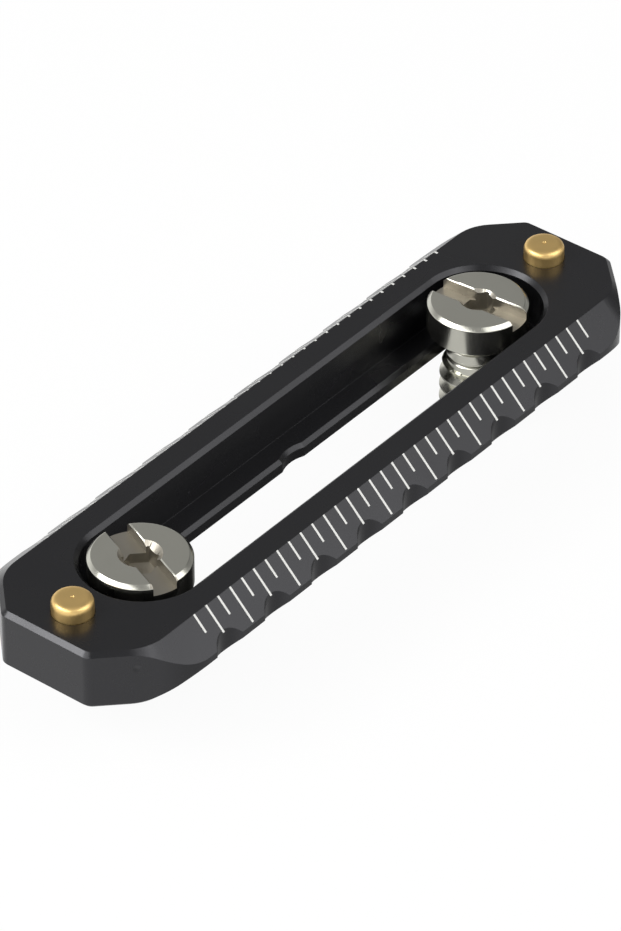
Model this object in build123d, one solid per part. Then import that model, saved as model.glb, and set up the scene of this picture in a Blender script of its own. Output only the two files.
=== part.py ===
from build123d import *
import os
from math import tan, radians, sqrt

# Slide-on accessory rail with two captive screws and two spring-loaded stop pins.
# Millimetres. X runs along the rail, Z is up.
# The origin is the middle of the base face, which is clamped to the equipment.

# Rail section and outline
rail_length = 69.6
rail_width = 20.5
rail_height = 5.6
upper_flank_drop = 2.5
side_face_height = 0.6
edge_bevel = 0.4
end_flat_width = 8.8
end_corner_radius = 1.0
side_blend_radius = 6.0
top_blend_radius = 4.0

# Grip scallops cut into both long sides
scallop_count = 9
scallop_pitch = 6.0
scallop_chord = 3.2
scallop_depth = 0.8

# Long slot: wide recess for the screw heads above a ledge with a narrower slot
slot_end_margin = 12.3
recess_width = 10.44
recess_rim_bevel = 0.38
ledge_thickness = 1.24
ledge_bevel = 0.34
through_slot_width = 5.94

# Captive screws: 1/4 in thread, relieved neck, round head
thread_diameter = 6.35
thread_length = 5.5
thread_tip_bevel = 0.6
thread_start_bevel = 0.25
neck_diameter = 5.2
neck_play = 2.2
head_diameter = 8.7
head_height = 2.9
head_top_bevel = 0.35
head_foot_bevel = 0.15
driver_slot_width = 2.1
driver_slot_depth = 1.05
hex_socket_flats = 3.0
hex_socket_depth = 2.0
hex_mouth_bevel = 0.45
insertion_hole_clearance = 0.25
insertion_hole_offset = 0.5
seat_gap = 0.02
screw_inset = {"left": 0.0, "right": 1.0}
driver_slot_turn = {"left": 68.0, "right": 94.0}

# Stop pins
pin_diameter = 3.5
pin_proud = 1.45
pin_top_bevel = 0.32
pin_end_margin = 3.6
pin_running_gap = 0.05
pin_dimple_radius = 0.16
pin_shoulder_thickness = 1.2
pin_flange_thickness = 0.8
pin_flange_overhang = 0.4
pin_tail_diameter = 2.2
pin_tail_length = 0.9
plug_thickness = 0.8
plug_step = 0.25
plug_bevel = 0.15
spring_wire = 0.3
spring_wire_sides = 8
spring_turns = 3.0
spring_wall_gap = 0.25

# Worked out from the sizes above
half_length = rail_length / 2
half_width = rail_width / 2
slot_centre_distance = rail_length - 2 * slot_end_margin
pin_centre_distance = rail_length - 2 * pin_end_margin
lower_flank_drop = rail_height - upper_flank_drop - side_face_height
ledge_top = ledge_thickness
insertion_hole_diameter = thread_diameter + insertion_hole_clearance
scallop_radius = (scallop_chord ** 2 / 4 + scallop_depth ** 2) / (2 * scallop_depth)
neck_length = ledge_thickness + neck_play
thread_top = -seat_gap
head_foot = thread_top + neck_length
head_top = head_foot + head_height
screw_end = slot_centre_distance / 2 + (through_slot_width - neck_diameter) / 2 - seat_gap
shoulder_under = rail_height - pin_shoulder_thickness
flange_top = shoulder_under - seat_gap
flange_foot = flange_top - pin_flange_thickness
pin_hole_diameter = pin_diameter + 2 * pin_running_gap
flange_diameter = pin_diameter + 2 * pin_flange_overhang
cavity_diameter = flange_diameter + 2 * pin_running_gap
plug_diameter = cavity_diameter + 2 * plug_step
SIDES = {"left": -1, "right": 1}


def octagon(end_x, side_y, end_half, end_radius, blend_radius):
    """Flat-ended outline with 45 degree corners, blended into the long sides."""
    corner_x = end_x - (side_y - end_half)
    quarter = [(end_x, end_half), (corner_x, side_y)]
    points = quarter + [(-x, y) for x, y in reversed(quarter)]
    points += [(-x, -y) for x, y in points]
    face = make_face(Polyline(*points, close=True))
    ends = [v for v in face.vertices() if abs(abs(v.X) - end_x) < edge_bevel / 4]
    face = fillet(ends, end_radius)
    sides = [v for v in face.vertices() if abs(abs(v.Y) - side_y) < edge_bevel / 4]
    return fillet(sides, blend_radius)


def bevelled_region(flank_drop):
    """Face left between the end bevels, the corner bevels and the flanks."""
    inset_end = half_length - edge_bevel
    inset_corner = end_flat_width / 2 - edge_bevel * (sqrt(2) - 1)
    return octagon(inset_end, half_width - flank_drop, inset_corner,
                   end_corner_radius - edge_bevel * tan(radians(22.5)), top_blend_radius)


def stadium(width):
    """Slot outline between the two slot centres."""
    return SlotCenterToCenter(slot_centre_distance, width)


def rail_blank():
    """Outline prism with sloped flanks above and below its side face."""
    outline = octagon(half_length, half_width, end_flat_width / 2, end_corner_radius,
                      side_blend_radius)
    prism = extrude(outline, rail_height)
    upper_face = Pos(0, 0, rail_height) * bevelled_region(upper_flank_drop)
    upper = extrude(upper_face, -upper_flank_drop, taper=-45)
    lower = extrude(bevelled_region(lower_flank_drop), lower_flank_drop, taper=-45)
    middle = Pos(0, 0, lower_flank_drop) * extrude(outline, side_face_height)
    return (upper & prism) + middle + (lower & prism)


def scallops():
    """Upright cylinders that bite into both long sides."""
    centre_y = half_width - scallop_depth + scallop_radius
    first_x = -scallop_pitch * (scallop_count - 1) / 2
    tool = Cylinder(scallop_radius, rail_height, align=(Align.CENTER, Align.CENTER, Align.MIN))
    places = [Pos(first_x + scallop_pitch * i, side * centre_y, 0)
              for i in range(scallop_count) for side in (-1, 1)]
    return [place * tool for place in places]


def slot_tools():
    """Recess with its rim bevel, ledge bevel, through slot and insertion hole."""
    recess = Pos(0, 0, ledge_top) * extrude(stadium(recess_width), rail_height)
    rim_face = Pos(0, 0, rail_height) * stadium(recess_width + 2 * recess_rim_bevel)
    rim = extrude(rim_face, -recess_rim_bevel, taper=45)
    through = extrude(stadium(through_slot_width), rail_height)
    lip_face = Pos(0, 0, ledge_top) * stadium(through_slot_width + 2 * ledge_bevel)
    lip = extrude(lip_face, -ledge_bevel, taper=45)
    hole_radius = insertion_hole_diameter / 2
    bottom = (Align.CENTER, Align.CENTER, Align.MIN)
    hole = Pos(insertion_hole_offset, 0, 0) * Cylinder(hole_radius, rail_height, align=bottom)
    sink_place = Pos(insertion_hole_offset, 0, ledge_top - ledge_bevel)
    sink = sink_place * Cone(hole_radius, hole_radius + ledge_bevel, ledge_bevel, align=bottom)
    return [recess, rim, through, lip, hole, sink]


def pin_bore():
    """Guide hole, spring cavity and plug seat of one stop pin."""
    bottom = (Align.CENTER, Align.CENTER, Align.MIN)
    guide = Cylinder(pin_hole_diameter / 2, rail_height, align=bottom)
    cavity = Cylinder(cavity_diameter / 2, shoulder_under, align=bottom)
    seat = Cylinder(plug_diameter / 2, plug_thickness, align=bottom)
    return guide + cavity + seat


def rail_body():
    """The rail itself, milled from one bar."""
    body = rail_blank()
    for tool in scallops() + slot_tools():
        body -= tool
    for side in SIDES.values():
        body -= Pos(side * pin_centre_distance / 2, 0, 0) * pin_bore()
    return body


def turned(points):
    """Solid of revolution about Z from its half section in the XZ plane."""
    return revolve(make_face(Polyline(*[(x, 0, z) for x, z in points], close=True)), Axis.Z)


def screw(side):
    """Captive screw with a wide driver slot and a hexagon socket in its head."""
    head_r, neck_r, thread_r = head_diameter / 2, neck_diameter / 2, thread_diameter / 2
    tip = thread_top - thread_length
    blank = turned([
        (0, tip), (thread_r - thread_tip_bevel, tip), (thread_r, tip + thread_tip_bevel),
        (thread_r, thread_top - thread_start_bevel), (thread_r - thread_start_bevel, thread_top),
        (neck_r, thread_top), (neck_r, head_foot), (head_r - head_foot_bevel, head_foot),
        (head_r, head_foot + head_foot_bevel), (head_r, head_top - head_top_bevel),
        (head_r - head_top_bevel, head_top), (0, head_top)])
    top = (Align.CENTER, Align.CENTER, Align.MAX)
    cut = Pos(0, 0, head_top) * Box(2 * head_diameter, driver_slot_width, driver_slot_depth,
                                    align=top)
    hexagon = RegularPolygon(hex_socket_flats / 2, 6, major_radius=False)
    socket = Pos(0, 0, head_top) * extrude(hexagon, -hex_socket_depth)
    socket_r = hex_socket_flats / 2
    mouth = Pos(0, 0, head_top) * Cone(socket_r, socket_r + hex_mouth_bevel, hex_mouth_bevel,
                                       align=top)
    made = Rot(0, 0, driver_slot_turn[side]) * (blank - cut - socket - mouth)
    return Pos(SIDES[side] * (screw_end - screw_inset[side]), 0, 0) * made


def stop_pin():
    """Brass pin with a retaining flange and a tail that centres its spring."""
    pin_r, flange_r, tail_r = pin_diameter / 2, flange_diameter / 2, pin_tail_diameter / 2
    top = rail_height + pin_proud
    tail_foot = flange_foot - pin_tail_length
    return turned([
        (0, tail_foot), (tail_r, tail_foot), (tail_r, flange_foot), (flange_r, flange_foot),
        (flange_r, flange_top), (pin_r, flange_top), (pin_r, top - pin_top_bevel),
        (pin_r - pin_top_bevel, top), (pin_dimple_radius, top), (0, top - pin_dimple_radius)])


def pin_spring():
    """Coil spring between the plug and the pin's flange."""
    coil_r = cavity_diameter / 2 - spring_wall_gap - spring_wire / 2
    height = flange_foot - plug_thickness - spring_wire - 2 * seat_gap
    path = Helix(height / spring_turns, height, coil_r)
    wire = RegularPolygon(spring_wire / 2, spring_wire_sides)
    section = Plane(origin=path @ 0, z_dir=path % 0) * wire
    coil = sweep(section, path, is_frenet=True)
    return Pos(0, 0, plug_thickness + seat_gap + spring_wire / 2) * coil


def pin_plug():
    """Disc pressed into the base that closes the spring cavity."""
    plug_r = plug_diameter / 2
    return turned([(0, 0), (plug_r - plug_bevel, 0), (plug_r, plug_bevel),
                   (plug_r, plug_thickness), (0, plug_thickness)])


def main():
    os.makedirs("parts", exist_ok=True)
    pieces = {"rail_body": rail_body()}
    for name, side in SIDES.items():
        at_pin = Pos(side * pin_centre_distance / 2, 0, 0)
        pieces["screw_" + name] = screw(name)
        pieces["stop_pin_" + name] = at_pin * stop_pin()
        pieces["pin_spring_" + name] = at_pin * pin_spring()
        pieces["pin_plug_" + name] = at_pin * pin_plug()
    for name, piece in pieces.items():
        export_step(piece, f"parts/{name}.step")


main()
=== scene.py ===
import math
from collections import namedtuple

import bmesh
import bpy
from mathutils import Matrix, Vector


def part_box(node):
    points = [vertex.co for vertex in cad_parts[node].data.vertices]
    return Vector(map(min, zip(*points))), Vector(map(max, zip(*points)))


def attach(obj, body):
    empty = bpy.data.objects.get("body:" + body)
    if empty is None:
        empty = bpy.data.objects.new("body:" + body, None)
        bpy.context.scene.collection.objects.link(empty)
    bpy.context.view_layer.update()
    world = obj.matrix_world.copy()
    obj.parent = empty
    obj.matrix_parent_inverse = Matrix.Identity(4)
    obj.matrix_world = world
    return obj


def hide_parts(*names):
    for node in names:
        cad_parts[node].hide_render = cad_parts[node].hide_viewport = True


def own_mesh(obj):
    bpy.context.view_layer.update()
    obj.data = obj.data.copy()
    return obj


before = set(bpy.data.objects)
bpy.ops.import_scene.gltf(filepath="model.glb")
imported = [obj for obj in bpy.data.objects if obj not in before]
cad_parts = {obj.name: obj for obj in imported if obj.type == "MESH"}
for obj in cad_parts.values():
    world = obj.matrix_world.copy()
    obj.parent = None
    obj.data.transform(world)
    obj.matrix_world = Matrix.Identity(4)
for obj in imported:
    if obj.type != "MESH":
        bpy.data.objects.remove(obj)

bl_info = {
    "name": "Slide-on accessory rail",
    "version": (1, 0, 0),
    "blender": (4, 5, 0),
    "location": "View3D > Sidebar > Rail",
    "description": "Dresses the packed rail with its finishes, lines, screws, pins and springs",
    "category": "Object",
}

MM = 0.001
TURN = 2 * math.pi
SIDES = ("left", "right")

# Points closer than this become one.
MERGE = 0.002 * MM

# How far a cutter stands past the surface that it cuts.
CLEAR = 1 * MM

# Rounding of a turned edge that was only deburred.
DEBURRED = 0.06 * MM

# Steps round a turned piece.
AROUND = 128

# Slope of a 118 degree drill point.
DRILL_SLOPE = math.radians(31)

# Most values of a noise texture lie between these two.
NOISE_LOW, NOISE_HIGH = 0.3, 0.7

rail_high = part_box("rail_body")[1]


# Colours and small helpers

def linear(hex_text):
    """Linear colour of an sRGB hex value."""
    channels = [int(hex_text[i:i + 2], 16) / 255 for i in (1, 3, 5)]
    return [c / 12.92 if c <= 0.04045 else ((c + 0.055) / 1.055) ** 2.4 for c in channels]


def with_alpha(colour):
    """Colour with full alpha, as a node socket takes it."""
    return (*colour, 1.0)


def add(tree, kind, inputs=None, **settings):
    """Adds a node, sets it up, and links or sets its inputs."""
    node = tree.nodes.new(kind)
    for name, value in settings.items():
        setattr(node, name, value)
    for key, value in (inputs or {}).items():
        if isinstance(value, bpy.types.NodeSocket):
            tree.links.new(value, node.inputs[key])
        else:
            node.inputs[key].default_value = value
    return node


def in_scene(name, data):
    """New object for a mesh, lamp or camera, in the scene."""
    made = bpy.data.objects.new(name, data)
    bpy.context.scene.collection.objects.link(made)
    return made


# Kinds of settings

def length(name, text, millimetres):
    """Property for a length, stored in metres."""
    return bpy.props.FloatProperty(name=name, description=text, default=millimetres * MM,
                                   subtype="DISTANCE", unit="LENGTH", precision=5)


def angle(name, text, degrees):
    """Property for an angle, stored in radians."""
    return bpy.props.FloatProperty(name=name, description=text, default=math.radians(degrees),
                                   subtype="ANGLE", unit="ROTATION")


def factor(name, text, value):
    """Property for a number between 0 and 1."""
    return bpy.props.FloatProperty(name=name, description=text, default=value, min=0, max=1,
                                   subtype="FACTOR")


def point(name, text, x, y, z):
    """Property for a point, given in millimetres and stored in metres."""
    return bpy.props.FloatVectorProperty(name=name, description=text, size=3, precision=5,
                                         default=(x * MM, y * MM, z * MM), subtype="XYZ",
                                         unit="LENGTH")


def colour(name, text, hex_text):
    """Property for a colour, stored linear."""
    return bpy.props.FloatVectorProperty(name=name, description=text, size=3, min=0, max=1,
                                         default=linear(hex_text), subtype="COLOR")


# Sizes and colours that a user would change

class RailFinish(bpy.types.PropertyGroup):
    """Anodised surface of the rail and its plugs"""
    anodise: colour("Anodise", "Colour of the black anodised surface", "#0e0e10")
    worn_edge: colour("Worn edge", "Colour where the edges are rubbed", "#39393b")
    sheen: colour("Sheen", "Cold tint of the oxide layer's gloss", "#fafaff")
    blast_grain: length("Blast grain", "Size of the grain left by bead blasting", 0.09)
    blast_depth: length("Blast depth", "Depth of the grain left by bead blasting", 0.01)
    handled_patch: length("Handled patch", "Size of the patches that handling left duller", 9)
    edge_softness: length("Edge softness", "Radius of the softened edges", 0.07)
    nick_at: point("Nick", "Small nick in the near corner face", -31.95, -7.25, 3.86)
    nick_size: length("Nick size", "Radius of the nick", 0.42)
    nick_depth: length("Nick depth", "Depth of the nick", 0.07)
    speck_at: point("Speck", "Small pale speck on the far wall of the recess", -10.43, 5.22, 2.52)
    speck_size: length("Speck size", "Radius of the speck", 0.16)


class MarkSizes(bpy.types.PropertyGroup):
    """Graduation lines on both upper flanks"""
    count: bpy.props.IntProperty(name="Count", description="Lines on each flank", default=35)
    pitch: length("Pitch", "Distance from line to line", 1.5)
    width: length("Width", "Width of a line", 0.2)
    short: length("Short line", "Length of a short line along the flank", 1.74)
    medium: length("Medium line", "Length of a medium line along the flank", 2.61)
    long: length("Long line", "Length of a long line along the flank", 3.38)
    notch: length("Notch", "How far the cutter ran onto the top face at the first line", 0.34)
    notch_count: bpy.props.IntProperty(name="Notches", description="Lines until it cleared the top",
                                       default=20)
    far_shift: length("Far row shift", "How far the +Y flank's row sits towards +X", 0.37)
    relief: length("Relief", "How far the paint stands out of the flank", 0.015)
    flank_drop: length("Flank drop", "Height of the upper flank", 2.5)
    paint: colour("Paint", "Colour of the filled lines", "#ecece8")


class ScrewSizes(bpy.types.PropertyGroup):
    """Both captive screws"""
    thread_pitch: length("Thread pitch", "Twenty turns to the inch", 1.27)
    thread_depth: length("Thread depth", "Depth of the thread groove", 0.78)
    thread_length: length("Thread length", "Length of the threaded shank", 5.5)
    thread_diameter: length("Thread diameter", "Outside of the thread", 6.35)
    tip_bevel: length("Tip bevel", "Bevel at the tip", 0.6)
    start_bevel: length("Start bevel", "Bevel where the thread meets the neck", 0.25)
    neck_diameter: length("Neck diameter", "Relieved neck between head and thread", 5.2)
    neck_length: length("Neck length", "Length of the relieved neck", 3.44)
    head_bevel: length("Head bevel", "Bevel round the top of the head", 0.35)
    foot_bevel: length("Foot bevel", "Bevel round the foot of the head", 0.15)
    slot_width: length("Driver slot width", "Width of the driver slot", 2.1)
    slot_depth: length("Driver slot depth", "Depth of the driver slot", 1.05)
    slot_bevel: length("Slot bevel", "Bevel along both edges of the driver slot", 0.1)
    hex_flats: length("Hexagon size", "Distance across the socket's flats", 2.65)
    hex_depth: length("Hexagon depth", "Depth of the socket", 2.0)
    left_sink: length("Left countersink", "Radius of the left socket's bevelled mouth", 1.85)
    right_sink: length("Right countersink", "Radius of the right socket's bevelled mouth", 1.6)
    drill_radius: length("Drill radius", "Radius of the drill point below the socket", 1.2)
    edge_round: length("Edge rounding", "Radius of the edges that a cutter left", 0.09)
    left_turn: angle("Left screw turn", "Direction of the left driver slot", 68)
    right_turn: angle("Right screw turn", "Direction of the right driver slot", 94)
    left_socket: angle("Left socket turn", "Direction of a corner of the left hexagon", 14)
    right_socket: angle("Right socket turn", "Direction of a corner of the right hexagon", 5)
    steel: colour("Steel", "Colour of the turned steel", "#cfcec3")
    milled: colour("Milled steel", "Colour of the duller steel that a cutter left", "#a9a499")
    roughness: factor("Roughness", "Roughness of the turned steel", 0.2)
    tool_marks: length("Tool marks", "Spacing of the lathe's marks", 0.05)


class PinSizes(bpy.types.PropertyGroup):
    """Both stop pins"""
    diameter: length("Pin diameter", "Outside of the pin", 3.5)
    top_bevel: length("Top bevel", "Rounded bevel at the pin's top", 0.66)
    dimple: length("Dimple", "Radius of the centre mark in the top", 0.16)
    flange_thickness: length("Flange thickness", "Thickness of the retaining flange", 0.8)
    tail_diameter: length("Tail diameter", "Tail that centres the spring", 2.2)
    tail_length: length("Tail length", "Length of the tail", 0.9)
    brass: colour("Brass", "Colour of the turned brass", "#f2ce88")
    roughness: factor("Roughness", "Roughness of the turned brass", 0.4)
    tool_marks: length("Tool marks", "Spacing of the lathe's marks", 0.06)


class SpringSizes(bpy.types.PropertyGroup):
    """Coil springs under the stop pins"""
    wire: length("Wire", "Diameter of the spring wire", 0.3)
    turns: bpy.props.FloatProperty(name="Turns", description="Turns of the coil", default=3.0)
    wire_colour: colour("Wire colour", "Colour of the spring wire", "#9a9ba0")


class StudioSettings(bpy.types.PropertyGroup):
    """Camera and floor"""
    azimuth: angle("Camera azimuth", "Direction of view; 0 looks along +Y", -51.48)
    elevation: angle("Camera elevation", "Height of the camera above the horizon", 37.33)
    roll: angle("Camera roll", "Turn of the camera about its own line of sight", 0.12)
    distance: length("Camera distance", "From the middle of the top face", 488.08)
    aim_right: length("Aim right", "Sideways offset of the camera", -0.586)
    aim_up: length("Aim up", "Upward offset of the camera", -3.204)
    lens: bpy.props.FloatProperty(name="Lens", description="Focal length in mm on a 36 mm sensor",
                                  default=228.33)
    floor_colour: colour("Floor", "Colour of the floor", "#f9f9f8")
    floor_half: length("Floor half width", "Half the width of the floor", 3000)
    seen_white: factor("White to the camera", "Share of plain white in the floor as seen", 0.94)
    # Share of the painted reflection, a glow with painted shade and a painted shadow, in the floor
    # as glossy rays see it.
    painted_reflection_share: factor("Card in reflections", "Share of the card in the mirrored floor", 0.9)


# Materials

def new_material(name):
    """New material, and its empty tree."""
    material = bpy.data.materials.new(name)
    material.use_nodes = True
    material.node_tree.nodes.clear()
    return material, material.node_tree


def near_point(tree, here, middle, radius):
    """Output that is 1 at a point and falls to 0 at a radius from it."""
    away = add(tree, "ShaderNodeVectorMath", {0: here, 1: middle}, operation="DISTANCE")
    spot = add(tree, "ShaderNodeMapRange", {"Value": away.outputs["Value"], "From Min": 0.0,
                                            "From Max": radius, "To Min": 1.0, "To Max": 0.0},
               interpolation_type="SMOOTHSTEP")
    return spot.outputs["Result"]


def rubbed_edges(tree, softened, wear):
    """Output that rises where the softened normal leaves the flat one, more so where wear is
    high."""
    flat_from, rubbed_from, most = 0.995, 0.9, 0.55
    flat = add(tree, "ShaderNodeNewGeometry")
    facing = add(tree, "ShaderNodeVectorMath", {0: softened, 1: flat.outputs["Normal"]},
                 operation="DOT_PRODUCT")
    edge = add(tree, "ShaderNodeMapRange",
               {"Value": facing.outputs["Value"], "From Min": flat_from, "From Max": rubbed_from,
                "To Min": 0.0, "To Max": most})
    rubbed = add(tree, "ShaderNodeMath", {0: edge.outputs["Result"], 1: wear},
                 operation="MULTIPLY")
    return rubbed.outputs["Value"]


def anodised_aluminium(finish):
    """Bead-blasted 6061 aluminium, anodised black: a hard clear oxide over dark dye, so it looks
    nearly black, with a soft, slightly cold gloss, a fine grain, a paler line on rubbed edges, and
    the nick and the speck that the photograph shows."""
    material, tree = new_material("black_anodised_blasted_aluminium")
    here = add(tree, "ShaderNodeTexCoord").outputs["Object"]
    grain = add(tree, "ShaderNodeTexNoise",
                {"Vector": here, "Scale": 1 / finish.blast_grain, "Detail": 2.0})
    handled = add(tree, "ShaderNodeTexNoise",
                  {"Vector": here, "Scale": 1 / finish.handled_patch, "Detail": 4.0})
    gloss = add(tree, "ShaderNodeMapRange",
                {"Value": handled.outputs["Fac"], "From Min": NOISE_LOW, "From Max": NOISE_HIGH,
                 "To Min": 0.22, "To Max": 0.31})
    soft = add(tree, "ShaderNodeBevel", {"Radius": finish.edge_softness}, samples=6)
    rubbed = rubbed_edges(tree, soft.outputs["Normal"], handled.outputs["Fac"])
    speck = near_point(tree, here, finish.speck_at, finish.speck_size)
    pale = add(tree, "ShaderNodeMath", {0: rubbed, 1: speck}, operation="MAXIMUM")
    tint = add(tree, "ShaderNodeMix",
               {"Factor": pale.outputs["Value"], "A": with_alpha(finish.anodise),
                "B": with_alpha(finish.worn_edge)}, data_type="RGBA")
    nick = add(tree, "ShaderNodeBump",
               {"Height": near_point(tree, here, finish.nick_at, finish.nick_size),
                "Normal": soft.outputs["Normal"], "Distance": finish.nick_depth}, invert=True)
    bump = add(tree, "ShaderNodeBump",
               {"Height": grain.outputs["Fac"], "Normal": nick.outputs["Normal"],
                "Strength": 0.12, "Distance": finish.blast_depth})
    shader = add(tree, "ShaderNodeBsdfPrincipled",
                 {"Base Color": tint.outputs["Result"], "Roughness": gloss.outputs["Result"],
                  "Normal": bump.outputs["Normal"], "IOR": 1.52,
                  "Specular Tint": with_alpha(finish.sheen)})
    add(tree, "ShaderNodeOutputMaterial", {"Surface": shader.outputs["BSDF"]})
    return material


def turned_metal(name, tint, roughness, tool_marks, milled_tint=None):
    """Metal turned on a lathe: concentric tool marks round each piece's own axis, a faint
    cloudiness from handling, and a duller surface where a milling cutter went through."""
    cloud_size, mark_depth = 1.4 * MM, 0.006 * MM
    polished, dulled, milled_dulling = -0.04, 0.05, 0.22
    material, tree = new_material(name)
    here = add(tree, "ShaderNodeAttribute", attribute_name="from_axis").outputs["Vector"]
    split = add(tree, "ShaderNodeSeparateXYZ", {"Vector": here})
    level = add(tree, "ShaderNodeCombineXYZ", {"X": split.outputs["X"], "Y": split.outputs["Y"]})
    radius = add(tree, "ShaderNodeVectorMath", {0: level.outputs["Vector"]}, operation="LENGTH")
    section = add(tree, "ShaderNodeCombineXYZ",
                  {"X": radius.outputs["Value"], "Y": split.outputs["Z"]})
    marks = add(tree, "ShaderNodeTexNoise",
                {"Vector": section.outputs["Vector"], "Scale": 1 / tool_marks, "Detail": 3.0})
    cloud = add(tree, "ShaderNodeTexNoise",
                {"Vector": here, "Scale": 1 / cloud_size, "Detail": 5.0})
    gloss = add(tree, "ShaderNodeMapRange",
                {"Value": cloud.outputs["Fac"], "From Min": NOISE_LOW, "From Max": NOISE_HIGH,
                 "To Min": roughness + polished, "To Max": roughness + dulled})
    bump = add(tree, "ShaderNodeBump",
               {"Height": marks.outputs["Fac"], "Strength": 0.18, "Distance": mark_depth})
    tone, dullness = with_alpha(tint), gloss.outputs["Result"]
    if milled_tint:
        milled = add(tree, "ShaderNodeAttribute", attribute_name="milled").outputs["Fac"]
        tone = add(tree, "ShaderNodeMix", {"Factor": milled, "A": tone,
                                           "B": with_alpha(milled_tint)},
                   data_type="RGBA").outputs["Result"]
        dullness = add(tree, "ShaderNodeMath", {0: milled, 1: milled_dulling, 2: dullness},
                       operation="MULTIPLY_ADD").outputs["Value"]
    shader = add(tree, "ShaderNodeBsdfPrincipled", {"Base Color": tone, "Roughness": dullness,
                                                    "Normal": bump.outputs["Normal"],
                                                    "Metallic": 1.0})
    add(tree, "ShaderNodeOutputMaterial", {"Surface": shader.outputs["BSDF"]})
    return material


def filled_paint(tint):
    """Matt white enamel wiped into shallow engraved lines: even, with a slightly chalky grain,
    drawn coarser than the real pigment so that it shows."""
    chalk_size, chalk_shade = 0.12 * MM, 0.86
    material, tree = new_material("white_filled_enamel")
    here = add(tree, "ShaderNodeTexCoord").outputs["Object"]
    chalk = add(tree, "ShaderNodeTexNoise", {"Vector": here, "Scale": 1 / chalk_size})
    tone = add(tree, "ShaderNodeMix",
               {"Factor": chalk.outputs["Fac"], "A": with_alpha(tint),
                "B": with_alpha([c * chalk_shade for c in tint])}, data_type="RGBA")
    shader = add(tree, "ShaderNodeBsdfPrincipled",
                 {"Base Color": tone.outputs["Result"], "Roughness": 0.6})
    add(tree, "ShaderNodeOutputMaterial", {"Surface": shader.outputs["BSDF"]})
    return material


def drawn_wire(tint):
    """Hard-drawn spring steel: a smooth grey wire with faint marks from the drawing die."""
    mark_size, mark_depth = 0.05 * MM, 0.005 * MM
    material, tree = new_material("drawn_spring_steel")
    here = add(tree, "ShaderNodeTexCoord").outputs["Object"]
    marks = add(tree, "ShaderNodeTexNoise", {"Vector": here, "Scale": 1 / mark_size})
    bump = add(tree, "ShaderNodeBump",
               {"Height": marks.outputs["Fac"], "Strength": 0.1, "Distance": mark_depth})
    shader = add(tree, "ShaderNodeBsdfPrincipled",
                 {"Base Color": with_alpha(tint), "Roughness": 0.3, "Metallic": 1.0,
                  "Normal": bump.outputs["Normal"]})
    add(tree, "ShaderNodeOutputMaterial", {"Surface": shader.outputs["BSDF"]})
    return material


# Finished pieces and their meshes

def new_piece(name, mesh, material, body, slot, *stands_for):
    """Object for a finished mesh, riding on its body."""
    piece = in_scene(name, mesh)
    mesh.materials.clear()
    mesh.materials.append(material)
    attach(piece, body)
    if stands_for:
        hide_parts(*stands_for)
    return piece


def evaluated_mesh(carrier):
    """Plain mesh of an object with its modifiers applied; the object itself is removed."""
    depsgraph = bpy.context.evaluated_depsgraph_get()
    mesh = bpy.data.meshes.new_from_object(carrier.evaluated_get(depsgraph))
    bpy.data.objects.remove(carrier)
    return mesh


def mesh_of(shape, name):
    """Mesh of a closed bmesh, which is freed, with its faces turned outwards."""
    bmesh.ops.recalc_face_normals(shape, faces=shape.faces)
    mesh = bpy.data.meshes.new(name)
    shape.to_mesh(mesh)
    shape.free()
    return mesh


def joined(first, second):
    """One mesh out of two."""
    shape = bmesh.new()
    shape.from_mesh(first)
    shape.from_mesh(second)
    shape.to_mesh(first)
    shape.free()
    return first


# Turned pieces

def rounded(corners, steps=4):
    """Half section of a turned piece; each corner is (radius, height, rounding)."""
    points = [Vector(corners[0][:2])]
    for before, corner, after in zip(corners, corners[1:], corners[2:]):
        here = Vector(corner[:2])
        if corner[2] == 0:
            points.append(here)
            continue
        start = here + (Vector(before[:2]) - here).normalized() * corner[2]
        end = here + (Vector(after[:2]) - here).normalized() * corner[2]
        for i in range(steps + 1):
            t = i / steps
            points.append(start * (1 - t) ** 2 + here * 2 * t * (1 - t) + end * t ** 2)
    return points + [Vector(corners[-1][:2])]


def turned_mesh(name, points, axis_x, steps=AROUND):
    """Closed solid of revolution about the upright line at axis_x."""
    shape = bmesh.new()
    corners = [shape.verts.new((axis_x + p.x, 0, p.y)) for p in points]
    edges = [shape.edges.new(pair) for pair in zip(corners, corners[1:])]
    bmesh.ops.spin(shape, geom=corners + edges, cent=(axis_x, 0, 0), axis=(0, 0, 1), angle=TURN,
                   steps=steps)
    bmesh.ops.remove_doubles(shape, verts=shape.verts, dist=MERGE)
    return mesh_of(shape, name)


def finish_turned(mesh, axis_x, sharp_degrees=32):
    """Smooth shading that keeps flat faces flat, and each point's place from the axis for the
    tool marks."""
    mesh.shade_smooth()
    mesh.set_sharp_from_angle(angle=math.radians(sharp_degrees))
    from_axis = mesh.attributes.new("from_axis", "FLOAT_VECTOR", "POINT")
    for vertex, item in zip(mesh.vertices, from_axis.data):
        item.vector = vertex.co - Vector((axis_x, 0, 0))
    carrier = in_scene("carrier", mesh)
    weighted = carrier.modifiers.new("Weighted", "WEIGHTED_NORMAL")
    weighted.keep_sharp = True
    return evaluated_mesh(carrier)


# Pieces that a geometry tree makes

def new_tree(name, whole_numbers, numbers):
    """Geometry tree with named inputs, and the sockets that give them inside it."""
    tree = bpy.data.node_groups.new(name, "GeometryNodeTree")
    for kind, sockets in (("NodeSocketInt", whole_numbers), ("NodeSocketFloat", numbers)):
        for socket in sockets:
            tree.interface.new_socket(socket, in_out="INPUT", socket_type=kind)
    tree.interface.new_socket("Geometry", in_out="OUTPUT", socket_type="NodeSocketGeometry")
    return tree, add(tree, "NodeGroupInput").outputs


def end_tree(tree, geometry, material):
    """Makes a tree's instances real and gives them their material."""
    real = add(tree, "GeometryNodeRealizeInstances", {"Geometry": geometry})
    dressed = add(tree, "GeometryNodeSetMaterial",
                  {"Geometry": real.outputs["Geometry"], "Material": material})
    add(tree, "NodeGroupOutput", {"Geometry": dressed.outputs["Geometry"]})


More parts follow.
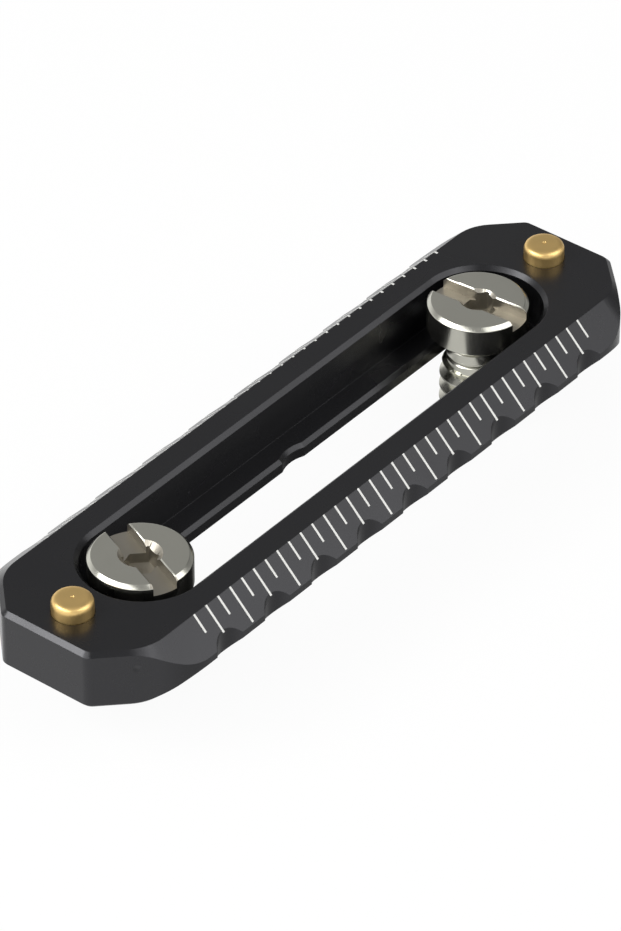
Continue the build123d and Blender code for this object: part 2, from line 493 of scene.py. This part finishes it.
def grown(tree, values):
    """Mesh that a geometry tree makes from its named inputs."""
    carrier = in_scene("carrier", bpy.data.meshes.new("seed"))
    modifier = carrier.modifiers.new("Tree", "NODES")
    modifier.node_group = tree
    for socket in tree.interface.items_tree:
        if socket.in_out == "INPUT" and socket.name in values:
            modifier[socket.identifier] = values[socket.name]
    return evaluated_mesh(carrier)


# Graduation lines

def line_length(tree, index, given):
    """Output for the length of each line: short, medium, short, long, and again."""
    kind = add(tree, "ShaderNodeMath", {0: index, 1: 4.0}, operation="MODULO")
    reach = given["Short"]
    for own_kind, name in ((1.0, "Medium"), (3.0, "Long")):
        fits = add(tree, "ShaderNodeMath", {0: kind.outputs["Value"], 1: own_kind, 2: 0.1},
                   operation="COMPARE")
        extra = add(tree, "ShaderNodeMath", {0: given[name], 1: given["Short"]},
                    operation="SUBTRACT")
        longer = add(tree, "ShaderNodeMath", {0: fits.outputs["Value"],
                                              1: extra.outputs["Value"], 2: reach},
                     operation="MULTIPLY_ADD")
        reach = longer.outputs["Value"]
    return reach


def row_of_bars(tree, row, bar, given, direction, reach, selection=True):
    """Output for bars on a row's points, each starting at its point and reaching along Y, in
    a direction of 1 or -1."""
    size = add(tree, "ShaderNodeCombineXYZ", {"X": given["Width"], "Y": reach,
                                              "Z": given["Thickness"]})
    from_edge = add(tree, "GeometryNodeTransform",
                    {"Geometry": bar.outputs["Mesh"], "Translation": (0, direction / 2, 0)})
    bars = add(tree, "GeometryNodeInstanceOnPoints",
               {"Points": row.outputs["Mesh"], "Selection": selection,
                "Instance": from_edge.outputs["Geometry"], "Scale": size.outputs["Vector"]})
    return bars.outputs["Instances"]


def mark_tree(material):
    """Tree for the painted lines of both flanks. On the +Y flank the cutter first ran onto the
    top face, and ever less from line to line."""
    tree, given = new_tree(
        "graduation_lines", ["Count", "Notch Count"],
        ["First X", "Pitch", "Width", "Thickness", "Short", "Medium", "Long", "Notch",
         "Far Shift", "Edge Y", "Edge Z"])
    back = add(tree, "ShaderNodeMath", {0: given["Pitch"], 1: -1.0}, operation="MULTIPLY")
    step = add(tree, "ShaderNodeCombineXYZ", {"X": back.outputs["Value"]})
    first = add(tree, "ShaderNodeCombineXYZ", {"X": given["First X"]})
    row = add(tree, "GeometryNodeMeshLine",
              {"Count": given["Count"], "Start Location": first.outputs["Vector"],
               "Offset": step.outputs["Vector"]}, mode="OFFSET")
    index = add(tree, "GeometryNodeInputIndex").outputs["Index"]
    bar = add(tree, "GeometryNodeMeshCube", {"Size": (1, 1, 1)})
    lines = row_of_bars(tree, row, bar, given, 1, line_length(tree, index, given))
    run_out = add(tree, "ShaderNodeMath", {0: index, 1: given["Notch Count"]}, operation="DIVIDE")
    has_notch = add(tree, "ShaderNodeMath", {0: run_out.outputs["Value"], 1: 1.0},
                    operation="LESS_THAN")
    left_over = add(tree, "ShaderNodeMath", {0: 1.0, 1: run_out.outputs["Value"]},
                    operation="SUBTRACT")
    notch = add(tree, "ShaderNodeMath", {0: given["Notch"], 1: left_over.outputs["Value"]},
                operation="MULTIPLY")
    notches = row_of_bars(tree, row, bar, given, -1, notch.outputs["Value"],
                          has_notch.outputs["Value"])
    shift = add(tree, "ShaderNodeCombineXYZ", {"X": given["Far Shift"]})
    edge = add(tree, "ShaderNodeCombineXYZ", {"X": given["Far Shift"], "Y": given["Edge Y"],
                                              "Z": given["Edge Z"]})
    far_flank = add(tree, "GeometryNodeTransform",
                    {"Geometry": lines, "Translation": edge.outputs["Vector"],
                     "Rotation": (-math.pi / 4, 0, 0)})
    far_top = add(tree, "GeometryNodeTransform",
                  {"Geometry": notches, "Translation": edge.outputs["Vector"]})
    near_flank = add(tree, "GeometryNodeTransform",
                     {"Geometry": far_flank.outputs["Geometry"], "Rotation": (0, 0, math.pi),
                      "Translation": shift.outputs["Vector"]})
    both = add(tree, "GeometryNodeJoinGeometry")
    for part in (far_flank, far_top, near_flank):
        tree.links.new(part.outputs["Geometry"], both.inputs["Geometry"])
    end_tree(tree, both.outputs["Geometry"], material)
    return tree


# Springs

def spring_tree(material):
    """Tree for a coil spring of round wire."""
    tree, given = new_tree("coil_spring", [], ["Turns", "Coil Radius", "Height", "Wire Radius",
                                               "Axis X", "Foot Z"])
    spiral = add(tree, "GeometryNodeCurveSpiral",
                 {"Resolution": 40, "Rotations": given["Turns"],
                  "Start Radius": given["Coil Radius"], "End Radius": given["Coil Radius"],
                  "Height": given["Height"]})
    ring = add(tree, "GeometryNodeCurvePrimitiveCircle",
               {"Resolution": 16, "Radius": given["Wire Radius"]})
    wire = add(tree, "GeometryNodeCurveToMesh",
               {"Curve": spiral.outputs["Curve"], "Profile Curve": ring.outputs["Curve"],
                "Fill Caps": True})
    foot = add(tree, "ShaderNodeCombineXYZ", {"X": given["Axis X"], "Z": given["Foot Z"]})
    placed = add(tree, "GeometryNodeTransform",
                 {"Geometry": wire.outputs["Mesh"], "Translation": foot.outputs["Vector"]})
    end_tree(tree, placed.outputs["Geometry"], material)
    return tree


# Screw heads

def screw_blank(sizes, side, axis_x, radius, foot, top):
    """Head as it comes from the lathe."""
    corners = [
        (0, foot, 0), (radius - sizes.foot_bevel, foot, 0), (radius, foot + sizes.foot_bevel, 0),
        (radius, top - sizes.head_bevel, DEBURRED), (radius - sizes.head_bevel, top, DEBURRED),
        (0, top, 0)]
    return turned_mesh("screw_" + side + "_blank", rounded(corners), axis_x)


def rectangle(half_length, half_width):
    """Corners of a rectangle about the origin."""
    return [(x * half_length, y * half_width) for x, y in ((-1, -1), (1, -1), (1, 1), (-1, 1))]


def prism_mesh(outline, mouth, bottom, top):
    """Prism from an outline of (x, y) points at its bottom to one at its top."""
    shape = bmesh.new()
    foot = [shape.verts.new((x, y, bottom)) for x, y in outline]
    head = [shape.verts.new((x, y, top)) for x, y in mouth]
    shape.faces.new(foot)
    shape.faces.new(head)
    for i in range(len(foot)):
        shape.faces.new((foot[i - 1], foot[i], head[i], head[i - 1]))
    return mesh_of(shape, "cutter")


def milling_cutters(sizes, slot_turn, socket_turn, axis_x, radius, top):
    """Cutters for the driver slot, the 45 degree bevel along its edges and the hexagon socket."""
    half = sizes.slot_width / 2
    bar, narrow, wide = (rectangle(2 * radius, reach)
                         for reach in (half, half / 2, half + sizes.slot_bevel + CLEAR))
    corner = sizes.hex_flats / math.sqrt(3)
    hexagon = [(corner * math.cos(TURN * i / 6), corner * math.sin(TURN * i / 6))
               for i in range(6)]
    cutters = []
    for outline, mouth, turn, depth in (
            (bar, bar, slot_turn, sizes.slot_depth),
            (narrow, wide, slot_turn, sizes.slot_bevel + half / 2),
            (hexagon, hexagon, socket_turn, sizes.hex_depth)):
        placed = [[Vector((axis_x, 0)) + Matrix.Rotation(turn, 2) @ Vector(p) for p in points]
                  for points in (outline, mouth)]
        cutters.append(prism_mesh(*placed, top - depth, top + CLEAR))
    return cutters


def drilling_cutters(sizes, sink, axis_x, top):
    """Cutters for the socket's 45 degree mouth and for the drill point below it."""
    floor = top - sizes.hex_depth
    tip = floor - sizes.drill_radius * math.tan(DRILL_SLOPE)
    above = top + CLEAR
    mouth = [(0, top - sink, 0), (sink + CLEAR, above, 0), (0, above, 0)]
    drill = [(0, tip, 0), (sizes.drill_radius, floor, 0), (sizes.drill_radius, above, 0),
             (0, above, 0)]
    return [turned_mesh("cutter", rounded(profile), axis_x, steps=64)
            for profile in (mouth, drill)]


def cut_away(mesh, cutters, rounding):
    """Cuts each cutter out of a mesh and rounds the edges that are left."""
    carrier = in_scene("carrier", mesh)
    tools = [in_scene("carrier", cutter) for cutter in cutters]
    for tool in tools:
        cut = carrier.modifiers.new("Cut", "BOOLEAN")
        cut.object = tool
        cut.operation = "DIFFERENCE"
        cut.solver = "EXACT"
    deburr = carrier.modifiers.new("Deburr", "BEVEL")
    deburr.width = rounding
    deburr.segments = 2
    deburr.limit_method = "ANGLE"
    deburr.angle_limit = math.radians(50)
    made = evaluated_mesh(carrier)
    for tool in tools:
        bpy.data.objects.remove(tool)
    shape = bmesh.new()
    shape.from_mesh(made)
    bmesh.ops.dissolve_degenerate(shape, dist=MERGE, edges=shape.edges)
    shape.to_mesh(made)
    shape.free()
    return made


def mark_milled(mesh, sizes, head_middle, turn, sink):
    """Says which faces of a screw were milled, not turned: its driver slot and its socket."""
    milled = mesh.attributes.new("milled", "FLOAT", "FACE")
    across = Vector((-math.sin(turn), math.cos(turn), 0))
    near = sizes.edge_round
    below_drill = -1.5 * sizes.hex_depth
    for face, item in zip(mesh.polygons, milled.data):
        spot = face.center - head_middle
        in_slot = abs(spot.dot(across)) < sizes.slot_width / 2 + near
        in_slot = in_slot and spot.z > -sizes.slot_depth - near
        in_socket = spot.xy.length < sink and spot.z > below_drill
        item.value = float(spot.z < -near and (in_slot or in_socket))


# Screw thread

def thread_mesh(sizes, axis_x, tip_z, shoulder_z, top_z, rows_per_turn=16):
    """Closed right-hand thread whose rows follow the helix, so its crests and roots are edges.
    Above the shoulder it is turned down to the neck, which keeps the bottoms of the grooves."""
    outer = sizes.thread_diameter / 2
    row_height = sizes.thread_pitch / rows_per_turn
    crest, flank, root = 0.125, 0.375, 0.125

    def groove(share):
        """Depth of the groove at a share of the pitch, from 0 at its crest to 1 at its root."""
        if share < crest:
            return 0.0
        if share < crest + flank:
            return (share - crest) / flank
        if share < crest + flank + root:
            return 1.0
        return (1 - share) / flank

    def allowed(z):
        """Largest radius at a height: the neck's, or the thread's within its bevels."""
        if z > shoulder_z:
            return sizes.neck_diameter / 2
        return outer - max(0.0, sizes.tip_bevel - (z - tip_z), sizes.start_bevel - (shoulder_z - z))

    turns = math.ceil((top_z - tip_z) / sizes.thread_pitch) + 1
    shape = bmesh.new()
    rows = []
    for row in range(turns * rows_per_turn + 1):
        ring = []
        for step in range(AROUND + 1):
            lead = 1 - step / AROUND
            helix_z = tip_z + (row / rows_per_turn - lead) * sizes.thread_pitch
            z = min(max(helix_z, tip_z), top_z)
            share = ((z - tip_z) / sizes.thread_pitch + lead) % 1
            radius = min(outer - groove(share) * sizes.thread_depth, allowed(z))
            if abs(z - shoulder_z) < row_height:
                z = shoulder_z
            around = TURN * step / AROUND
            ring.append(shape.verts.new((axis_x + radius * math.cos(around),
                                         radius * math.sin(around), z)))
        rows.append(ring)
    for low, high in zip(rows, rows[1:]):
        for i in range(AROUND):
            shape.faces.new((low[i], low[i + 1], high[i + 1], high[i]))
    bmesh.ops.remove_doubles(shape, verts=shape.verts, dist=MERGE)
    bmesh.ops.dissolve_degenerate(shape, edges=shape.edges, dist=MERGE)
    open_edges = [e for e in shape.edges if e.is_boundary]
    bmesh.ops.holes_fill(shape, edges=open_edges, sides=0)
    return mesh_of(shape, "thread")


# Operators, one for each group of pieces

class RAIL_OT_finish_rail(bpy.types.Operator):
    """Give the rail and its pressed-in plugs their anodised finish"""
    bl_idname = "rail.finish_rail"
    bl_label = "Finish rail"

    def execute(self, context):
        material = anodised_aluminium(context.scene.rail_finish)
        for name in ("rail_body", "pin_plug_left", "pin_plug_right"):
            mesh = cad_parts[name].data
            mesh.materials.clear()
            mesh.materials.append(material)
        return {"FINISHED"}


class RAIL_OT_add_marks(bpy.types.Operator):
    """Paint the graduation lines on both upper flanks"""
    bl_idname = "rail.add_marks"
    bl_label = "Add graduation lines"

    def execute(self, context):
        sizes = context.scene.rail_marks
        material = filled_paint(sizes.paint)
        # Each line starts half the relief down the flank.
        down_flank = sizes.relief * math.sqrt(0.5) / 2
        values = {
            "Count": sizes.count, "First X": sizes.pitch * (sizes.count - 1) / 2,
            "Pitch": sizes.pitch, "Width": sizes.width, "Thickness": 2 * sizes.relief,
            "Short": sizes.short, "Medium": sizes.medium, "Long": sizes.long, "Notch": sizes.notch,
            "Notch Count": sizes.notch_count, "Far Shift": sizes.far_shift,
            "Edge Y": rail_high.y - sizes.flank_drop + down_flank,
            "Edge Z": rail_high.z - down_flank,
        }
        mesh = grown(mark_tree(material), values)
        if not mesh.polygons:
            raise RuntimeError("the graduation lines came out empty")
        new_piece("graduation_lines", mesh, material, "rail", None)
        return {"FINISHED"}


class RAIL_OT_add_screws(bpy.types.Operator):
    """Make both captive screws with their driver slot, hexagon socket and thread"""
    bl_idname = "rail.add_screws"
    bl_label = "Add captive screws"

    def execute(self, context):
        sizes = context.scene.rail_screws
        material = turned_metal("turned_stainless_steel", sizes.steel, sizes.roughness,
                                sizes.tool_marks, sizes.milled)
        for side in SIDES:
            low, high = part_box("screw_" + side)
            axis_x = (low.x + high.x) / 2
            radius = (high.x - low.x) / 2
            shoulder = low.z + sizes.thread_length
            foot = shoulder + sizes.neck_length
            turn, socket_turn, sink = (getattr(sizes, side + part)
                                       for part in ("_turn", "_socket", "_sink"))
            blank = screw_blank(sizes, side, axis_x, radius, foot, high.z)
            cutters = milling_cutters(sizes, turn, socket_turn, axis_x, radius, high.z)
            cutters += drilling_cutters(sizes, sink, axis_x, high.z)
            head = cut_away(blank, cutters, sizes.edge_round)
            thread = thread_mesh(sizes, axis_x, low.z, shoulder, foot + sizes.foot_bevel)
            mesh = finish_turned(joined(head, thread), axis_x)
            mark_milled(mesh, sizes, Vector((axis_x, 0, high.z)), turn, sink)
            new_piece("captive_screw_" + side, mesh, material, side + "_screw", "screw_steel",
                      "screw_" + side)
        return {"FINISHED"}


class RAIL_OT_add_stop_pins(bpy.types.Operator):
    """Make both brass stop pins with a rounded top and a retaining flange"""
    bl_idname = "rail.add_stop_pins"
    bl_label = "Add stop pins"

    def execute(self, context):
        sizes = context.scene.rail_pins
        material = turned_metal("turned_brass", sizes.brass, sizes.roughness, sizes.tool_marks)
        for side in SIDES:
            low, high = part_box("stop_pin_" + side)
            axis_x = (low.x + high.x) / 2
            flange = (high.x - low.x) / 2
            pin = sizes.diameter / 2
            tail = sizes.tail_diameter / 2
            flange_foot = low.z + sizes.tail_length
            flange_top = flange_foot + sizes.flange_thickness
            corners = [
                (0, low.z, 0), (tail, low.z, DEBURRED), (tail, flange_foot, 0),
                (flange, flange_foot, DEBURRED), (flange, flange_top, DEBURRED),
                (pin, flange_top, 0), (pin, high.z, sizes.top_bevel), (sizes.dimple, high.z, 0),
                (0, high.z - sizes.dimple, 0)]
            mesh = turned_mesh("stop_pin", rounded(corners, steps=8), axis_x)
            mesh = finish_turned(mesh, axis_x, sharp_degrees=40)
            new_piece("brass_stop_pin_" + side, mesh, material, side + "_stop_pin", "pin_brass",
                      "stop_pin_" + side)
        return {"FINISHED"}


class RAIL_OT_add_springs(bpy.types.Operator):
    """Make the coil springs under the stop pins"""
    bl_idname = "rail.add_springs"
    bl_label = "Add pin springs"

    def execute(self, context):
        sizes = context.scene.rail_springs
        material = drawn_wire(sizes.wire_colour)
        tree = spring_tree(material)
        for side in SIDES:
            low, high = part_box("pin_spring_" + side)
            wire = sizes.wire / 2
            height = high.z - low.z
            values = {
                "Turns": sizes.turns, "Coil Radius": (high.y - low.y) / 2 - wire,
                "Height": height - sizes.wire, "Wire Radius": wire,
                "Axis X": (low.x + high.x) / 2, "Foot Z": low.z + wire}
            mesh = grown(tree, values)
            mesh.shade_smooth()
            name = "coil_spring_" + side
            piece = new_piece(name, mesh, material, "rail", "spring_steel", "pin_spring_" + side)
            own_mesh(piece)
        return {"FINISHED"}


class RAIL_OT_set_stage(bpy.types.Operator):
    """Set the floor, the lamps, the world and the camera"""
    bl_idname = "rail.set_stage"
    bl_label = "Set the stage"

    def execute(self, context):
        studio = context.scene.rail_studio
        add_floor(studio)
        add_lamps()
        set_world(context.scene)
        add_camera(studio, context.scene)
        context.scene.view_settings.view_transform = "Standard"
        return {"FINISHED"}


# Floor

def painted_reflection_light(tree):
    """Output for how bright the floor looks where the part mirrors it: a painted reflection, a glow
    that only glossy rays see, with painted shade towards the dark side of the studio and a
    painted shadow under the rail, less dark for the walls that face the near end, which look out
    through the slot."""
    # Painted shade: the glow dims towards this side, as if that side of the studio were dark.
    painted_dark_side = (-0.782, 0.622, 0)
    fade_start, fade_end, faded = -0.2, 0.95, 0.45
    lean_start, lean_end, rail_shadow_darkest, rail_shadow_lightest = 0.3, 0.7, 0.2, 0.75
    shade_start, shade_end = 0.75, 1.1
    back = add(tree, "ShaderNodeNewGeometry").outputs["Incoming"]
    towards_dark = add(tree, "ShaderNodeVectorMath", {0: back, 1: painted_dark_side},
                       operation="DOT_PRODUCT")
    # Painted reflection: a glow that only glossy rays see, full on one side, with painted shade on
    # the other.
    painted_glow = add(tree, "ShaderNodeMapRange",
               {"Value": towards_dark.outputs["Value"], "From Min": fade_start,
                "From Max": fade_end, "To Min": 1.0, "To Max": faded},
               interpolation_type="SMOOTHSTEP")
    leaning = add(tree, "ShaderNodeSeparateXYZ", {"Vector": back})
    # Painted shadow under the rail: deepest for rays heading towards +X, lighter for rays heading
    # towards the near end.
    painted_rail_shadow = add(tree, "ShaderNodeMapRange",
                     {"Value": leaning.outputs["X"], "From Min": lean_start, "From Max": lean_end,
                      "To Min": rail_shadow_darkest, "To Max": rail_shadow_lightest})
    here = add(tree, "ShaderNodeTexCoord").outputs["Object"]
    split = add(tree, "ShaderNodeSeparateXYZ", {"Vector": here})
    # Outside the rail's footprint the glow keeps its full level; inside it, it takes the painted
    # shadow's level.
    painted_shadow_factor = 0.0
    for axis, edge in (("X", rail_high.x), ("Y", rail_high.y)):
        distance = add(tree, "ShaderNodeMath", {0: split.outputs[axis]}, operation="ABSOLUTE")
        past_edge = add(tree, "ShaderNodeMapRange",
                        {"Value": distance.outputs["Value"], "From Min": shade_start * edge,
                         "From Max": shade_end * edge, "To Min": painted_rail_shadow.outputs["Result"],
                         "To Max": 1.0})
        painted_shadow_factor = add(tree, "ShaderNodeMath", {0: past_edge.outputs["Result"], 1: painted_shadow_factor},
                         operation="MAXIMUM").outputs["Value"]
    shaded = add(tree, "ShaderNodeMath", {0: painted_glow.outputs["Result"], 1: painted_shadow_factor},
                 operation="MULTIPLY")
    return shaded.outputs["Value"]


def floor_paper(studio):
    """Pale seamless paper: matt, nearly white to the camera, with a soft shadow, and a painted
    reflection where the part mirrors it: a glow that only glossy rays see, with painted shade and
    a painted shadow under the rail."""
    material, tree = new_material("pale_seamless_paper")
    paper = add(tree, "ShaderNodeBsdfPrincipled",
                {"Base Color": with_alpha(studio.floor_colour), "Roughness": 0.9})
    path = add(tree, "ShaderNodeLightPath")
    seen = add(tree, "ShaderNodeMath", {0: path.outputs["Is Camera Ray"], 1: studio.seen_white},
               operation="MULTIPLY")
    # Glossy rays see mostly the painted reflection instead of the lit paper.
    share = add(tree, "ShaderNodeMath",
                {0: path.outputs["Is Glossy Ray"], 1: studio.painted_reflection_share,
                 2: seen.outputs["Value"]}, operation="MULTIPLY_ADD")
    # Camera rays see even white; glossy rays see the painted reflection, with its painted shade and
    # shadow.
    level = add(tree, "ShaderNodeMix", {"Factor": path.outputs["Is Camera Ray"],
                                        "A": painted_reflection_light(tree), "B": 1.0})
    white = add(tree, "ShaderNodeEmission", {"Strength": level.outputs["Result"]})
    mixed = add(tree, "ShaderNodeMixShader", {0: share.outputs["Value"], 1: paper.outputs["BSDF"],
                                              2: white.outputs["Emission"]})
    add(tree, "ShaderNodeOutputMaterial", {"Surface": mixed.outputs["Shader"]})
    return material


def add_floor(studio):
    """Square floor under the screw tips, on which the part stands."""
    tips = min(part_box("screw_" + side)[0].z for side in SIDES)
    mesh = bpy.data.meshes.new("floor")
    corners = [(x, y, tips) for x, y in rectangle(studio.floor_half, studio.floor_half)]
    mesh.from_pydata(corners, [], [(0, 1, 2, 3)])
    mesh.materials.append(floor_paper(studio))
    floor = in_scene("floor", mesh)


# Lamps, world and camera

# A box's direction from the part, its width and height in millimetres, and its radiance.
SoftBox = namedtuple("SoftBox", "direction width height radiance")
SOFT_BOXES = {
    "key_behind_left": SoftBox((-0.606, 0.495, 0.622), 240, 240, 5.4),
    "strip_left": SoftBox((-0.745, 0.22, 0.629), 760, 330, 2.5),
    "softbox_right": SoftBox((0.37, -0.70, 0.61), 480, 480, 1.7),
    "fill_beside_camera": SoftBox((-0.10, -0.68, 0.73), 300, 300, 1.4),
}
LAMP_DISTANCE = 600 * MM


def add_lamps():
    """Soft boxes round the part, each turned towards it."""
    for name, box in SOFT_BOXES.items():
        data = bpy.data.lights.new(name, "AREA")
        data.shape = "RECTANGLE"
        data.size = box.width * MM
        data.size_y = box.height * MM
        data.energy = box.radiance * math.pi * data.size * data.size_y
        lamp = in_scene(name, data)
        towards = Vector(box.direction).normalized()
        lamp.location = towards * LAMP_DISTANCE
        lamp.rotation_mode = "QUATERNION"
        lamp.rotation_quaternion = towards.to_track_quat("Z", "Y")
        lamp.visible_camera = False


def set_world(scene):
    """White near the horizon, and dimmer above and towards the far end of the rail, as in a
    white cove with a dark ceiling and one open side."""
    wall_top, ceiling_from, ceiling_level = 0.1, 0.5, 0.35
    side_start, side_end, side_level = 0.65, 0.95, 0.3
    world = bpy.data.worlds.new("studio")
    world.use_nodes = True
    tree = world.node_tree
    tree.nodes.clear()
    direction = add(tree, "ShaderNodeTexCoord").outputs["Generated"]
    split = add(tree, "ShaderNodeSeparateXYZ", {"Vector": direction})
    walls = add(tree, "ShaderNodeMapRange",
                {"Value": split.outputs["Z"], "From Min": wall_top, "From Max": ceiling_from,
                 "To Min": 1.0, "To Max": ceiling_level}, interpolation_type="SMOOTHSTEP")
    open_side = add(tree, "ShaderNodeMapRange",
                    {"Value": split.outputs["X"], "From Min": side_start, "From Max": side_end,
                     "To Min": 1.0, "To Max": side_level}, interpolation_type="SMOOTHSTEP")
    dimmed = add(tree, "ShaderNodeMath", {0: walls.outputs["Result"],
                                          1: open_side.outputs["Result"]}, operation="MULTIPLY")
    seen = add(tree, "ShaderNodeLightPath").outputs["Is Camera Ray"]
    level = add(tree, "ShaderNodeMath", {0: dimmed.outputs["Value"], 1: seen}, operation="MAXIMUM")
    sky = add(tree, "ShaderNodeBackground", {"Color": (1, 1, 1, 1),
                                             "Strength": level.outputs["Value"]})
    add(tree, "ShaderNodeOutputWorld", {"Surface": sky.outputs["Background"]})
    scene.world = world


def add_camera(studio, scene):
    """Camera at the photograph's angle, from the middle of the top face."""
    azimuth, elevation = studio.azimuth, studio.elevation
    back = Vector((math.sin(azimuth) * math.cos(elevation),
                   -math.cos(azimuth) * math.cos(elevation), math.sin(elevation)))
    right = Vector((math.cos(azimuth), math.sin(azimuth), 0))
    up = back.cross(right)
    eye = Vector((0, 0, rail_high.z)) + back * studio.distance
    eye += right * studio.aim_right + up * studio.aim_up
    level = Matrix((right, up, back)).transposed()
    rolled = level @ Matrix.Rotation(studio.roll, 3, "Z")
    data = bpy.data.cameras.new("camera")
    data.lens = studio.lens
    data.clip_start = studio.distance / 10
    data.clip_end = studio.distance * 20
    camera = in_scene("camera", data)
    camera.matrix_world = Matrix.Translation(eye) @ rolled.to_4x4()
    scene.camera = camera


# Panel and registration

OPERATORS = (RAIL_OT_finish_rail, RAIL_OT_add_marks, RAIL_OT_add_screws, RAIL_OT_add_stop_pins,
             RAIL_OT_add_springs, RAIL_OT_set_stage)
GROUPS = {"rail_finish": RailFinish, "rail_marks": MarkSizes, "rail_screws": ScrewSizes,
          "rail_pins": PinSizes, "rail_springs": SpringSizes, "rail_studio": StudioSettings}


class RAIL_PT_pieces(bpy.types.Panel):
    """Lists the rail's operators and settings"""
    bl_idname = "RAIL_PT_pieces"
    bl_label = "Rail"
    bl_space_type = "VIEW_3D"
    bl_region_type = "UI"
    bl_category = "Rail"

    def draw(self, context):
        for operator in OPERATORS:
            self.layout.operator(operator.bl_idname)
        for name, group in GROUPS.items():
            box = self.layout.box()
            for setting in group.__annotations__:
                box.prop(getattr(context.scene, name), setting)


def register():
    for made in (*GROUPS.values(), *OPERATORS, RAIL_PT_pieces):
        bpy.utils.register_class(made)
    for name, group in GROUPS.items():
        setattr(bpy.types.Scene, name, bpy.props.PointerProperty(type=group))


def unregister():
    for name in GROUPS:
        delattr(bpy.types.Scene, name)
    for made in (RAIL_PT_pieces, *reversed(OPERATORS), *reversed(GROUPS.values())):
        bpy.utils.unregister_class(made)


def main():
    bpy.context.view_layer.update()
    register()
    bpy.ops.rail.finish_rail()
    bpy.ops.rail.add_marks()
    bpy.ops.rail.add_screws()
    bpy.ops.rail.add_stop_pins()
    bpy.ops.rail.add_springs()
    bpy.ops.rail.set_stage()


if __name__ == "__main__":
    main()
